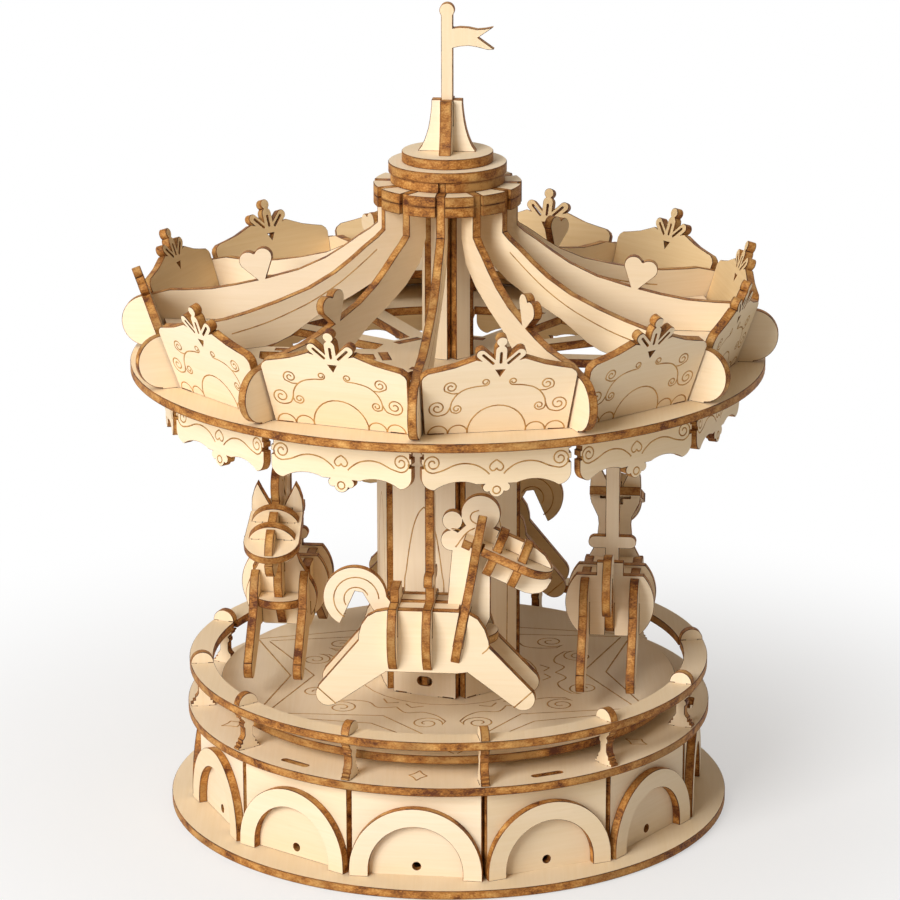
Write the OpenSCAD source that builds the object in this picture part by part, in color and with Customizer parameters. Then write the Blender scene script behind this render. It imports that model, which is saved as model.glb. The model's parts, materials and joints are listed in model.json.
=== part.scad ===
// Carousel music box: slot-together plywood, whole canopy and deck turn on a spring-driven movement.
// Frame: millimetres, origin at the centre of the base plate's underside, +Z up, front towards -Y.

/* [Sheet] */
// thickness of every plywood sheet
sheet = 2.1; // [1.8:0.1:2.4]
// thickness of the sheets stacked at the crown
crown_sheet = 2.45; // [2:0.05:3]
// play left around a sheet in its slot, each side
slot_play = 0.04; // [0.02:0.01:0.1]

/* [Base] */
// radius of the round base plate
base_r = 67.5; // [66:0.5:75]
// distance from the axis to the outer face of a base wall
wall_apothem = 58.6; // [58:0.1:59]
// height of the base walls
wall_h = 21.3; // [21:0.1:27]
// radius of the round deck on the walls
deck_r = 63.1; // [62.8:0.1:65]
// outer radius of an arch trim
arch_r = 15.5; // [13:0.5:15.5]
// width of the arch trim band
arch_band = 4.5; // [3:0.1:6]
// turn of the base seams from the front
base_phase = 8; // [4:0.5:12]

/* [Rail] */
// height of a rail post between deck and rail
post_h = 8.8; // [8.6:0.1:12]
// outer radius of the rail ring
rail_r = 62.6; // [62.3:0.1:62.8]
// width of the rail ring
rail_w = 5.7; // [5.2:0.1:6]

/* [Turntable] */
// radius of the turning floor
turn_r = 55; // [50:0.5:56]
// gap between the deck and the turning floor
turn_gap = 2.7; // [2.7:0.1:3.5]
// height of the column between turning floor and canopy floor
column_h = 78.5; // [76.4:0.1:90]
// distance from the axis to the outer face of a column panel
column_apothem = 16.1; // [15.5:0.1:16.5]
// gap between neighbouring column panels at their inner corners
column_gap = 0.17; // [0.05:0.01:2]
// turn of the carousel seams from the front
carousel_phase = -5.5; // [-8:0.5:-3]

/* [Canopy] */
// radius of the canopy floor
canopy_r = 75; // [73:0.5:79]
// height of the crown above the canopy floor
mast_h = 36.9; // [36:0.1:46]
// lean of the fascia panels from upright
fascia_lean = 19; // [14:0.5:21]
// height of a fascia panel at its corners
fascia_h = 15.7; // [14:0.1:18]
// height of the raised inner floor's top above the canopy floor
kerb_h = 7.2; // [6.2:0.1:8]
// width of the raised inner floor
kerb_ring_w = 13.2; // [9:0.1:15]
// height of a hanging valance panel at its sides
valance_h = 9; // [8:0.1:11]

/* [Crown] */
// radius of the slotted crown rings
crown_r = 17.35; // [16.8:0.05:19]
// radius of the crown discs
disc_r = 13.85; // [12.5:0.05:15]
// how much smaller the lower crown disc is
disc_step = 0.5; // [0.1:0.1:1]
// radius of the cap disc
cap_r = 10.7; // [9:0.1:12]
// height of the spire fins
spire_h = 12.2; // [11:0.1:16]
// height of the flag pole above the spire
pole_h = 22.6; // [18:0.1:28]

/* [Horses] */
// distance from the axis to the middle of the two high horses
high_horse_r = 40.8; // [38.5:0.1:45]
// distance from the axis to the middle of the two low horses
low_horse_r = 39.5; // [38.5:0.1:45]
// height of a high horse's middle above the turning floor
horse_z = 26.1; // [24:0.1:32]
// how much lower the two low horses hang
horse_drop = 3.6; // [0:0.1:5]
// radius of the hoops around a horse's body
hoop_r = 10.6; // [10:0.1:11.5]
// distance between the leg plates of a horse, middle to middle
leg_gap = 11.8; // [11:0.1:12.4]
// width of the strip a horse hangs from
strip_w = 3.3; // [2.8:0.1:4]

/* [Movement] */
// outer radius of the spring drum
drum_r = 13.5; // [12:0.1:13.5]
// radius of the drive arbor
arbor_r = 2.5; // [2:0.05:2.8]
// radial running clearance of the turning pieces in their bores
run_gap = 0.06; // [0.04:0.01:0.08]

/* [Hidden] */
$fn = 72;
cut = 0.5;
deck_z = sheet + wall_h;
deck_top = deck_z + sheet;
rail_z = deck_top + post_h;
rail_top = rail_z + sheet;
turn_z = deck_top + turn_gap;
turn_top = turn_z + sheet;
floor_z = turn_top + column_h;
floor_top = floor_z + sheet;
crown_z = floor_top + mast_h;
ring_top = crown_z + 2 * crown_sheet;
disc_top = ring_top + 2 * crown_sheet;
cap_top = disc_top + crown_sheet;
spire_top = cap_top + spire_h;
chord = 2 * tan(15);
wall_w = (wall_apothem - sheet) * chord - 0.1;
fascia_a = canopy_r - 8.8;
fascia_w = (fascia_a - sheet / cos(fascia_lean)) * chord - sheet / cos(15) - 0.1;
valance_a = canopy_r - 8;
valance_w = valance_a * chord - sheet - 0.1;
kerb_a = fascia_a - sheet / cos(fascia_lean) + (kerb_h - sheet) * tan(fascia_lean) - 0.1;
foot_r = fascia_a - 6.3;
foot_lap = foot_r + 2.1;
post_r = rail_r - rail_w / 2;
cap_half = min(2.75, rail_w / 2);
hub_a = column_apothem + 1.4;
window_r = fascia_a - 21.7;
mast_a = sheet + 3.7;
rib_in = 10;
rib_out = crown_r - 0.9;
wheel_m = 0.8;
wheel_n = 40;
pinion_n = 12;
fan_n = 10;
roll_x = wheel_m * (wheel_n + pinion_n) / 2;
fan_d = wheel_m * (wheel_n + fan_n) / 2;
fan_a = 126;
bed_z = sheet;
bed_t = 1.7;
drum_z = bed_z + bed_t;
drum_h = 10.8;
wheel_z = drum_z + drum_h + 1.1;
wheel_t = 2;
bridge_z = wheel_z + wheel_t + 1;
bridge_t = 1.6;
column_w = (column_apothem - sheet) * 2 * tan(30) - column_gap;
high_y = turn_top + horse_z;
low_y = high_y - horse_drop;
horse_out = [high_horse_r, low_horse_r, high_horse_r, low_horse_r];
horse_mid = [high_y, low_y, high_y, low_y];

// ---------- helpers ----------
// a plate in the XZ plane, its middle on Y = 0
module upright(t = sheet) {
  rotate([90, 0, 0]) linear_extrude(t, center = true) children();
}
// a plate in the YZ plane, its middle on X = 0
module across(t = sheet) {
  rotate([90, 0, 90]) linear_extrude(t, center = true) children();
}
// twelve copies turned about the axis, the first at the given angle from the front
module around(phase, step = 30) {
  for (a = [0:step:359]) rotate([0, 0, a + phase]) children();
}
// a plate in the plane through the axis, drawn as radius and height, at the front
module radial(t = sheet) {
  rotate([0, 0, -90]) rotate([90, 0, 0]) linear_extrude(t, center = true) children();
}
// a rounded bar between two points of a drawing
module bar2(a, b, r) {
  d = norm(b - a);
  translate(a) rotate(atan2(b[1] - a[1], b[0] - a[0])) {
    translate([0, -r]) square([d, 2 * r]);
    circle(r);
    translate([d, 0]) circle(r);
  }
}
module box2(x0, y0, x1, y1) {
  translate([x0, y0]) square([x1 - x0, y1 - y0]);
}

// ---------- base ----------
module base_plate() color("BurlyWood") linear_extrude(sheet) circle(base_r);

module wall_panels() color("BurlyWood")
  around(base_phase + 15) translate([0, -wall_apothem + sheet / 2, sheet]) upright()
    difference() {
      box2(-wall_w / 2, 0, wall_w / 2, wall_h);
      translate([0, 2.3]) circle(0.95);
    }

module arch_trims() color("Tan")
  around(base_phase + 15) translate([0, -wall_apothem - sheet / 2, sheet]) upright()
    difference() {
      union() {
        box2(-arch_r, 0, arch_r, 1.7);
        intersection() {
          translate([0, 1.7]) circle(arch_r);
          box2(-arch_r, 1.7, arch_r, 1.7 + arch_r);
        }
      }
      translate([0, 1.7]) circle(arch_r - arch_band);
      box2(-arch_r + arch_band, -1, arch_r - arch_band, 1.7);
    }

module deck_plate() color("BurlyWood") translate([0, 0, deck_z]) linear_extrude(sheet)
  difference() {
    circle(deck_r);
    circle(5);
    around(base_phase + 15, 60) translate([0, -post_r + 1.1])
      bar2([-3, 0], [3, 0], 0.85);
    around(base_phase) translate([0, -post_r])
      square([sheet + 2 * slot_play, 3 + 2 * slot_play], center = true);
  }

module post_half() {
  h = post_h;
  polygon([[0, 0], [2.95, 0], [2.95, 0.7], [2.4, 0.7], [2.4, 1.5], [1.85, 1.5], [1.85, 2.3],
    [1.4, 2.7], [1.1, 3.3], [1.1, h - 3.6], [1.5, h - 3.2], [1.5, h - 2.5], [1.15, h - 2.1],
    [1.6, h - 1.5], [2.2, h - 1.1], [2.2, h - 0.5], [2.6, h - 0.4], [2.6, h], [1.5, h],
    [1.5, h + sheet + 0.5], [0, h + sheet + 0.5]]);
  intersection() {
    translate([0, h + sheet + 0.02]) circle(cap_half);
    box2(0, h + sheet + 0.02, 4, h + 8);
  }
  box2(0, -sheet, 1.5, 0.5);
}

module rail_posts() color("Tan") around(base_phase)
  translate([0, -post_r, deck_top]) radial() {
    post_half();
    mirror([1, 0]) post_half();
  }

module rail_ring() color("BurlyWood") translate([0, 0, rail_z]) linear_extrude(sheet)
  difference() {
    circle(rail_r);
    circle(rail_r - rail_w);
    around(base_phase) translate([-sheet / 2 - slot_play, -post_r - 1.5 - slot_play])
      square([sheet + 2 * slot_play, rail_w]);
  }

// ---------- movement, sealed inside the base ----------
module plate_outline() translate([-29, -22]) square([74, 48]);
module pillars(r) for (p = [[-25, -18], [-25, 22], [41, -18], [41, 22]]) translate(p) circle(r);

module movement_bed() color("Goldenrod") translate([0, 0, bed_z]) {
  linear_extrude(bed_t) difference() {
    plate_outline();
    circle(1.5 + run_gap);
    translate([roll_x, 0]) circle(0.8 + run_gap);
    rotate(fan_a) translate([fan_d, 0]) circle(0.8 + run_gap);
  }
  translate([0, 0, bed_t]) linear_extrude(bridge_z - drum_z) pillars(2);
}

module movement_bridge() color("Goldenrod") translate([0, 0, bridge_z])
  linear_extrude(bridge_t) difference() {
    plate_outline();
    circle(arbor_r + run_gap);
    translate([roll_x, 0]) circle(0.8 + run_gap);
    rotate(fan_a) translate([fan_d, 0]) circle(0.8 + run_gap);
  }

module spring_drum() color("Silver") translate([0, 0, drum_z]) difference() {
  cylinder(r = drum_r, h = drum_h);
  translate([0, 0, -cut]) cylinder(r = drum_r - 1, h = drum_h - 0.6);
  cylinder(r = arbor_r + run_gap, h = drum_h + 1);
}

function spiral(r0, r1, a0, a1, n) =
  [for (i = [0:n]) let (a = a0 + (a1 - a0) * i / n, r = r0 + (r1 - r0) * i / n)
    [r * cos(a), r * sin(a)]];

module mainspring() color("SlateGray") translate([0, 0, drum_z + 0.5]) linear_extrude(drum_h - 2) {
  polygon(concat(spiral(arbor_r + 1.6, drum_r - 1.4, 0, 1440, 72),
    [for (i = [72:-1:0]) spiral(arbor_r + 1.25, drum_r - 1.75, 0, 1440, 72)[i]]));
  box2(drum_r - 1.75, -0.5, drum_r - 1.03, 0.5);
}

module tune_comb() color("LightSteelBlue") translate([roll_x + 6.85, 0, drum_z + 0.6])
  upright(1) difference() {
    square([13, 9.8]);
    for (i = [1:13]) translate([-1, i * 0.7 - 0.1]) square([9 - i * 0.2, 0.2]);
  }

module comb_block() color("Goldenrod") translate([roll_x + 14.5, 0.5, drum_z])
  cube([5.5, 4.5, 10.8]);

module governor_case() color("Silver") rotate([0, 0, fan_a]) translate([fan_d, 0, drum_z])
  difference() {
    cylinder(r = 6, h = drum_h);
    translate([0, 0, -cut]) cylinder(r = 5, h = drum_h - 0.6);
    cylinder(r = 0.8 + run_gap, h = drum_h + 1);
  }

function teeth(n) = [for (i = [0:n - 1], p = [[-1.15, -0.3], [0, -0.22], [0.8, -0.1],
  [0.8, 0.1], [0, 0.22], [-1.15, 0.3]])
  let (r = wheel_m * (n / 2 + p[0]), a = 360 / n * (i + p[1])) [r * cos(a), r * sin(a)]];

module tune_roll() color("Goldenrod") translate([roll_x, 0, 0]) {
  translate([0, 0, drum_z + 0.4]) cylinder(r = 6, h = 10.2);
  translate([0, 0, bed_z + 0.3]) cylinder(r = 0.8, h = bridge_z + bridge_t - bed_z - 0.5);
  translate([0, 0, drum_z + 10]) cylinder(r = 2.2, h = wheel_z - drum_z - 9);
  translate([0, 0, wheel_z]) rotate([0, 0, 195]) linear_extrude(wheel_t)
    polygon(teeth(pinion_n));
  for (i = [0:13]) translate([0, 0, drum_z + 0.95 + i * 0.7])
    rotate([0, 0, i * 97]) translate([5.8, 0, 0]) rotate([0, 90, 0])
      cylinder(r = 0.18, h = 0.65);
}

module governor_rotor() color("DimGray") rotate([0, 0, fan_a]) translate([fan_d, 0, 0]) {
  translate([0, 0, bed_z + 0.3]) cylinder(r = 0.8, h = bridge_z + bridge_t - bed_z - 0.5);
  translate([-3.8, -0.3, drum_z + 1.5]) cube([7.6, 0.6, 6.5]);
  translate([0, 0, wheel_z]) rotate([0, 0, 198]) linear_extrude(wheel_t)
    polygon(teeth(fan_n));
}

module drive_wheel() color("Goldenrod") translate([0, 0, wheel_z]) linear_extrude(wheel_t)
  difference() {
    polygon(teeth(wheel_n));
    circle(arbor_r);
  }

module drive_arbor() color("Silver") {
  translate([0, 0, drum_z + 0.4]) cylinder(r = arbor_r, h = turn_top - drum_z - 0.4);
  translate([0, 0, bed_z + 0.3]) cylinder(r = 1.5, h = bed_t + 0.2);
}

module arbor_bush() color("Goldenrod") difference() {
  union() {
    translate([0, 0, deck_z - 0.9]) cylinder(r = 5, h = sheet + 0.9);
    translate([0, 0, deck_top]) cylinder(r = 8, h = 0.3);
  }
  translate([0, 0, deck_z - 2]) cylinder(r = arbor_r + run_gap, h = 6);
}

module arbor_collar() color("Silver") translate([0, 0, deck_z - 2.6]) difference() {
  cylinder(r = 4.6, h = 1.3);
  translate([0, 0, -cut]) cylinder(r = arbor_r, h = 3);
}

// ---------- turning floor and column ----------
module column_slots() around(carousel_phase - 15, 60)
  translate([0, -column_apothem + sheet / 2])
    square([7 + 2 * slot_play, sheet + 2 * slot_play], center = true);

module turntable() color("BurlyWood") translate([0, 0, turn_z]) linear_extrude(sheet)
  difference() {
    circle(turn_r);
    circle(arbor_r);
    column_slots();
  }

module hub_disc() color("Tan") translate([0, 0, deck_top + 0.6])
  linear_extrude(turn_gap - 0.6) difference() {
    circle(20);
    circle(arbor_r);
  }

module column_panels() color("BurlyWood") around(carousel_phase - 15, 60)
  translate([0, -column_apothem + sheet / 2, turn_top]) upright() difference() {
    union() {
      box2(-column_w / 2, 0, column_w / 2, column_h);
      box2(-3.5, -sheet, 3.5, column_h + sheet);
    }
    for (z = [3.6, column_h - 5.6]) translate([0, z])
      bar2([-0.75, 0], [0.75, 0], sheet / 2 + slot_play);
  }

module spacer() linear_extrude(sheet) difference() {
  union() {
    rotate(carousel_phase - 15) circle((column_apothem - sheet - 0.02) / cos(30), $fn = 6);
    around(carousel_phase - 15, 60) translate([0, -column_apothem + sheet / 2])
      square([1.5, sheet], center = true);
  }
  circle(8);
}

module column_spacers() color("Tan") for (z = [3.6, column_h - 5.6])
  translate([0, 0, turn_top + z - sheet / 2]) spacer();

// ---------- canopy ----------
module canopy_floor() color("BurlyWood") translate([0, 0, floor_z]) linear_extrude(sheet)
  difference() {
    circle(canopy_r);
    difference() {
      circle(window_r);
      rotate(carousel_phase) circle(hub_a / cos(15), $fn = 12);
      around(carousel_phase) box2(-2.3, -canopy_r + 6, 2.3, 0);
    }
    column_slots();
    around(carousel_phase) translate([0, -fascia_a])
      square([sheet + 2 * slot_play, 5 + 2 * slot_play], center = true);
    for (k = [0:3]) rotate([0, 0, carousel_phase + 90 * k]) translate([0, -horse_out[k]])
      square([sheet + 2 * slot_play, strip_w + 2 * slot_play], center = true);
  }

module kerb_panels() color("Tan") translate([0, 0, floor_top + kerb_h - sheet])
  linear_extrude(sheet) difference() {
    rotate(carousel_phase) circle(kerb_a / cos(15), $fn = 12);
    circle(kerb_a - kerb_ring_w);
    around(carousel_phase) box2(-sheet / 2 - slot_play, -canopy_r, sheet / 2 + slot_play,
      -foot_lap + slot_play);
  }

module fascia_panels() color("BurlyWood") around(carousel_phase + 15)
  translate([0, -fascia_a, floor_top]) rotate([fascia_lean, 0, 0]) translate([0, sheet / 2, 0])
    upright() fascia_shape();

module fascia_half() {
  w = fascia_w / 2;
  h = fascia_h;
  e = h * sin(fascia_lean) * chord / 2;
  polygon([[0, 0], [w, 0], [w + e, h - 1.2], [w + e - 0.4, h - 0.3], [w + e - 1.4, h + 0.5],
    [w - 3.2, h + 1.2], [w - 6, h + 1.9], [w - 8.6, h + 2.9], [w - 10.6, h + 3.7],
    [w - 12, h + 3.3], [0, h + 3]]);
  bar2([1.3, h + 2], [4.35, h + 5.05], 1.2);
  translate([0, h + 8.2]) circle(1.25);
  bar2([0, h + 2], [0, h + 5.9], 1.35);
}

module fascia_shape() difference() {
  union() {
    fascia_half();
    mirror([1, 0]) fascia_half();
    translate([-0.7, fascia_h + 6]) square([1.4, 1.6]);
  }
  translate([0, fascia_h + 0.3]) rotate(-90) circle(1.1, $fn = 3);
  bar2([0, fascia_h + 2.8], [0, fascia_h + 5.2], 0.2, $fn = 16);
  for (s = [0, 1]) mirror([s, 0])
    bar2([1.7, fascia_h + 2.6], [3.95, fascia_h + 4.85], 0.2, $fn = 16);
}

module valance_half() {
  w = valance_w / 2;
  h = valance_h;
  difference() {
    union() {
      box2(0, -h - 0.7, w, 0);
      translate([w - 3, -h + 1.4]) circle(3);
      box2(w - 3, -h + 1.4, w, 0);
    }
    difference() {
      box2(w - 3, -h - 3, w + 1, -h + 1.4);
      translate([w - 3, -h + 1.4]) circle(3);
    }
    translate([8.4, -h - 9.8]) circle(9.9);
    box2(w - 0.5, -3.2, w + 1, -2.2);
    box2(w - 0.8, -5.4, w + 1, -4.6);
  }
  translate([2.1, -h - 1.5]) circle(1.05);
  translate([0, -h - 2]) circle(1.75);
  box2(0, -h - 2, 1.8, -h);
}

module valance_panels() color("BurlyWood") around(carousel_phase + 15)
  translate([0, -valance_a + sheet / 2, floor_z]) upright() {
    valance_half();
    mirror([1, 0]) valance_half();
  }

// roof rib drawn as radius and height above the canopy floor
function rib_r(f) = rib_out + f * (fascia_a - rib_out);
function rib_z(g) = 9 + g * (mast_h - 9);

module rib_shape() {
  top = mast_h + 2 * crown_sheet;
  polygon([[rib_in, top], [rib_out, top], [rib_out, rib_z(0.82)], [rib_r(0.035), rib_z(0.765)],
    [rib_r(0.09), rib_z(0.7)], [rib_r(0.165), rib_z(0.6)], [rib_r(0.25), rib_z(0.5)],
    [rib_r(0.38), rib_z(0.39)], [rib_r(0.54), rib_z(0.305)], [rib_r(0.68), rib_z(0.245)],
    [rib_r(0.8), rib_z(0.205)], [rib_r(0.93), rib_z(0.19)], [rib_r(1), rib_z(0.187)],
    [fascia_a + 6, 12.6], [fascia_a + 6, 0], [fascia_a + 2.5, 0], [fascia_a + 2.5, -sheet],
    [fascia_a - 2.5, -sheet], [fascia_a - 2.5, 0], [foot_r, 0],
    [foot_r, kerb_h - sheet - slot_play], [foot_lap, kerb_h - sheet - slot_play],
    [foot_lap, kerb_h], [rib_r(0.61), kerb_h], [rib_r(0.55), kerb_h + 0.6],
    [rib_r(0.48), kerb_h + 1.9], [rib_r(0.33), rib_z(0.165)],
    [rib_r(0.17), rib_z(0.285)], [rib_r(0.03), rib_z(0.41)], [rib_in + 2.5, rib_z(0.56)],
    [rib_in, rib_z(0.76)]]);
  intersection() {
    translate([fascia_a + 5.5, 6.5]) circle(6.2);
    box2(fascia_a, 0, canopy_r + 8, 14);
  }
}

module heart2(s) scale(s) {
  translate([-1.85, 1.6]) circle(2.15);
  translate([1.85, 1.6]) circle(2.15);
  polygon([[-3.7, 0.5], [3.7, 0.5], [1.6, -2.6], [0, -5], [-1.6, -2.6]]);
  polygon([[-3.7, 0.5], [0, 3], [3.7, 0.5]]);
}

module heart_ribs() color("Tan") around(carousel_phase + 30, 60)
  translate([0, 0, floor_top]) radial() {
    rib_shape();
    translate([rib_r(0.575), rib_z(0.305) + 3.2]) rotate(-17) heart2(1);
  }

module slit_ribs() color("Tan") around(carousel_phase, 60)
  translate([0, 0, floor_top]) radial() rib_shape();

module mast_panels() color("BurlyWood") around(carousel_phase - 15, 60)
  translate([0, -mast_a + sheet / 2, floor_top]) upright() box2(-2.1, 0, 2.1, mast_h);

module crown_ring(k) translate([0, 0, crown_z + k * crown_sheet]) linear_extrude(crown_sheet)
  difference() {
    circle(crown_r);
    around(carousel_phase) box2(-sheet / 2 - slot_play, -crown_r - 1,
      sheet / 2 + slot_play, -rib_in + slot_play);
  }

module crown_ring_low() color("BurlyWood") crown_ring(0);
module crown_ring_high() color("BurlyWood") crown_ring(1);

module crown_disc_low() color("Tan") translate([0, 0, ring_top]) linear_extrude(crown_sheet)
  difference() {
    circle(disc_r - disc_step);
    rotate(carousel_phase) translate([0, -disc_r + disc_step]) square([1.5, 1.6], center = true);
  }

module crown_disc_high() color("Tan") translate([0, 0, ring_top + crown_sheet])
  linear_extrude(crown_sheet) circle(disc_r);

module crown_cap() color("BurlyWood") translate([0, 0, disc_top]) linear_extrude(crown_sheet)
  circle(cap_r);

module fin_half() {
  h = spire_h;
  polygon([[0, 0], [6.8, 0], [5.9, 1.3], [5.3, 2.6], [4.8, 4], [4.4, 5.4], [4.05, 7.2], [3.8, 9],
    [3.6, h - 1.3], [3.6, h], [0, h]]);
}

module fin_shape() {
  fin_half();
  mirror([1, 0]) fin_half();
}

module spire_fin_wide() color("Tan") rotate([0, 0, carousel_phase]) translate([0, 0, cap_top])
  upright(2.8) difference() {
    fin_shape();
    box2(-1.4 - slot_play, spire_h / 2, 1.4 + slot_play, spire_h + 1);
  }

module spire_fin_deep() color("Tan") rotate([0, 0, carousel_phase]) translate([0, 0, cap_top])
  across(2.8) difference() {
    fin_shape();
    box2(-1.4 - slot_play, -1, 1.4 + slot_play, spire_h / 2);
    box2(-sheet / 2 - slot_play, spire_h - 4, sheet / 2 + slot_play, spire_h + 1);
  }

module flag() color("BurlyWood") rotate([0, 0, carousel_phase]) translate([0, 0, spire_top])
  upright() {
    box2(-1.35, -4, 1.35, pole_h - 2);
    translate([0, pole_h - 1.75]) circle(1.75);
    polygon([[1, pole_h - 10.6], [3, pole_h - 10.1], [5, pole_h - 9.9], [7, pole_h - 10.2],
      [9.5, pole_h - 10.8], [11, pole_h - 10.7], [7.2, pole_h - 8], [10.8, pole_h - 5.5],
      [9, pole_h - 5.9], [7, pole_h - 6.1], [5, pole_h - 5.7], [3, pole_h - 5.6],
      [1, pole_h - 5.9]]);
  }

// ---------- horses ----------
// drawn facing +X, outward side towards -Y, height measured from the middle of the body
hoop_u = -8;
neck_u = 7.35;
neck_tilt = 10.2;
face_o = [8.05, 22.7];
face_tilt = -22.9;
// where the neck plate crosses the face plate: along each of them, and how wide the cut is
cross_tilt = face_tilt + neck_tilt;
cross_h = (cos(face_tilt) * face_o[1] - sin(face_tilt) * (face_o[0] - neck_u)) / cos(cross_tilt);
cross_s = cos(face_tilt) * (neck_u + cross_h * sin(neck_tilt) - face_o[0])
  + sin(face_tilt) * (cross_h * cos(neck_tilt) - face_o[1]);
cross_w = (sheet + 2 * slot_play) / cos(cross_tilt) + sheet * tan(-cross_tilt);
cross_in = 3.6;
// brow discs: place along the face plate, height above its middle
brows = [[7.9, 5.2], [14.1, 4.9]];
brow_r = 5.9;
brow_slot = 2.9;
chest_z = -2.1;
leg_in = leg_gap / 2 - sheet / 2 - 0.02;
// half the neck plate's thickness measured level, and how far it leans per height
neck_half_t = sheet / 2 / cos(neck_tilt);
neck_lean = tan(neck_tilt);

module place_horse(k) rotate([0, 0, carousel_phase + 90 * k])
  translate([0, -horse_out[k], horse_mid[k]]) children();

module spine_shape() {
  difference() {
    translate([-17.4, 7.1]) circle(7.4);
    polygon([[-17.4, 8.7], [-22.4, -2.6], [-14.8, -2.6], [-13.2, 4.2], [-15.6, 8.4]]);
  }
  polygon([[-12.4, 1.5], [-10, -6], [-6, -8.2], [7, -8.2], [11.2, -3], [12.6, 0], [13.9, 3.2],
    [13.9, 13.2], [17.2, 11.8], [19.6, 10.5], [21.8, 9.6], [23.6, 9.3], [25.4, 9.6], [26.9, 10.7],
    [28, 12.6], [28.3, 14.7], [27.7, 16.7], [26.5, 18.7], [24.6, 20.3], [22.6, 21.4],
    [20.5, 22.3], [18, 23.4], [14.8, 24.9], [9, 26.2], [6.1, 23.4], [5.1, 19.4], [4.6, 14.2],
    [4, 6.3], [-9, 6.3], [-11, 8.8]]);
  translate([11.7, 28.2]) circle(4.5);
  translate([5.2, 26.4]) circle(2.35);
  translate([5, 21.7]) circle(2.5);
}

module along_face() translate(face_o) rotate(face_tilt) children();

module horse_spine(k) color("BurlyWood") place_horse(k) upright() difference() {
  spine_shape();
  box2(hoop_u - sheet / 2 - slot_play, 0, hoop_u + sheet / 2 + slot_play, 9);
  box2(-sheet / 2 - slot_play, 0, sheet / 2 + slot_play, 9);
  translate([neck_u, 0]) rotate(-neck_tilt)
    box2(-sheet / 2 - slot_play, -12, sheet / 2 + slot_play, 6);
  box2(10.8, chest_z - slot_play, 16, chest_z + sheet + slot_play);
  along_face() {
    box2(10, -sheet / 2 - slot_play, 26, sheet / 2 + slot_play);
    for (p = brows)
      box2(p[0] - sheet / 2 - slot_play, brow_slot, p[0] + sheet / 2 + slot_play, 9);
  }
}

module leg_shape() {
  polygon([[-9.6, -8.6], [6.6, -8.6], [9.2, -8.2], [19.8, -16.2], [24.4, -12.6], [14.3, -2.1],
    [14.1, -0.4], [13.2, 2.4], [11.6, 4.8], [9.4, 6.1], [7.2, 6.4], [-9.4, 6.4], [-11.9, 5.9],
    [-13.9, 4.7], [-15.3, 2.6], [-15.9, 0.4], [-16, -1.2], [-25.4, -12.6], [-21, -16.6]]);
  translate([-23.1, -14.5]) circle(2.9);
  translate([22, -14.2]) circle(2.85);
}

module horse_legs(k) color("BurlyWood") place_horse(k) for (s = [-1, 1])
  translate([0, s * leg_gap / 2, 0]) upright() difference() {
    leg_shape();
    box2(hoop_u - sheet / 2 - slot_play, 0, hoop_u + sheet / 2 + slot_play, 9);
    box2(-sheet / 2 - slot_play, 0, sheet / 2 + slot_play, 9);
    translate([neck_u, 0]) rotate(-neck_tilt)
      box2(-sheet / 2 - slot_play, -2.2, sheet / 2 + slot_play, 9);
  }

module hoop_shape() difference() {
  intersection() {
    circle(hoop_r);
    box2(-hoop_r, -8.2, hoop_r, 7);
  }
  for (y = [-leg_gap / 2, 0, leg_gap / 2])
    box2(y - sheet / 2 - slot_play, -hoop_r, y + sheet / 2 + slot_play, 0);
}

module horse_strip(k) color("Tan") place_horse(k) across() union() {
  hoop_shape();
  box2(-strip_w / 2, 6, strip_w / 2, floor_top - horse_mid[k]);
  bar2([-4.2, 12.6], [4.2, 12.6], 1.5);
}

module neck_half() polygon([[0, 0], [7.6, 3], [6.2, 6], [4.8, 8.6], [4.2, 11], [3.9, 14],
  [4.1, 15.8], [5, 17.6], [5.8, 19.2], [6.1, 21], [6.15, cross_h + 1.4], [6, cross_h + 3.8],
  [5.4, cross_h + 6], [4.5, cross_h + 7.8], [3.5, cross_h + 5.6], [2.5, cross_h + 3.6],
  [1.75, cross_h + 2], [1.75, cross_h - cross_w], [0, cross_h - cross_w]]);

module neck_shape() difference() {
  union() {
    intersection() {
      translate([0, -1]) circle(8.6);
      box2(-9, -8.5, 9, 6);
    }
    neck_half();
    mirror([1, 0]) neck_half();
  }
  box2(-sheet / 2 - slot_play, 6, sheet / 2 + slot_play, cross_h + 9);
  box2(-cross_in, cross_h - cross_w / 2, cross_in, cross_h + cross_w / 2);
  for (y = [-leg_gap / 2, leg_gap / 2])
    box2(y - sheet / 2 - slot_play, -10, y + sheet / 2 + slot_play, -2.2);
}

module chest_shape() difference() {
  intersection() {
    translate([9.2, 0]) circle(6.5);
    box2(neck_u + neck_half_t + (chest_z + sheet) * neck_lean + 0.1831389, -leg_in, 16, leg_in);
  }
  box2(8, -sheet / 2 - slot_play, 10.8, sheet / 2 + slot_play);
}

module horse_hoops(k) color("Tan") place_horse(k) {
  translate([hoop_u, 0, 0]) across() {
    hoop_shape();
    box2(-3.2, 6, 3.2, 10.2);
  }
  translate([neck_u, 0, 0]) rotate([0, neck_tilt, 0]) across() neck_shape();
  translate([0, 0, chest_z]) linear_extrude(sheet) chest_shape();
  // seat boards lie between the hoops, on both sides of the spine
  translate([0, 0, 6.4 - sheet]) linear_extrude(sheet) for (s = [0, 1]) mirror([0, s]) {
    box2(hoop_u + sheet / 2 + 0.02, sheet / 2 + 0.02, -sheet / 2 - 0.02, leg_in);
    box2(sheet / 2 + 0.02, sheet / 2 + 0.02,
      neck_u - neck_half_t + (6.4 - sheet) * neck_lean - 0.0568310, leg_in);
  }
}

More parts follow.
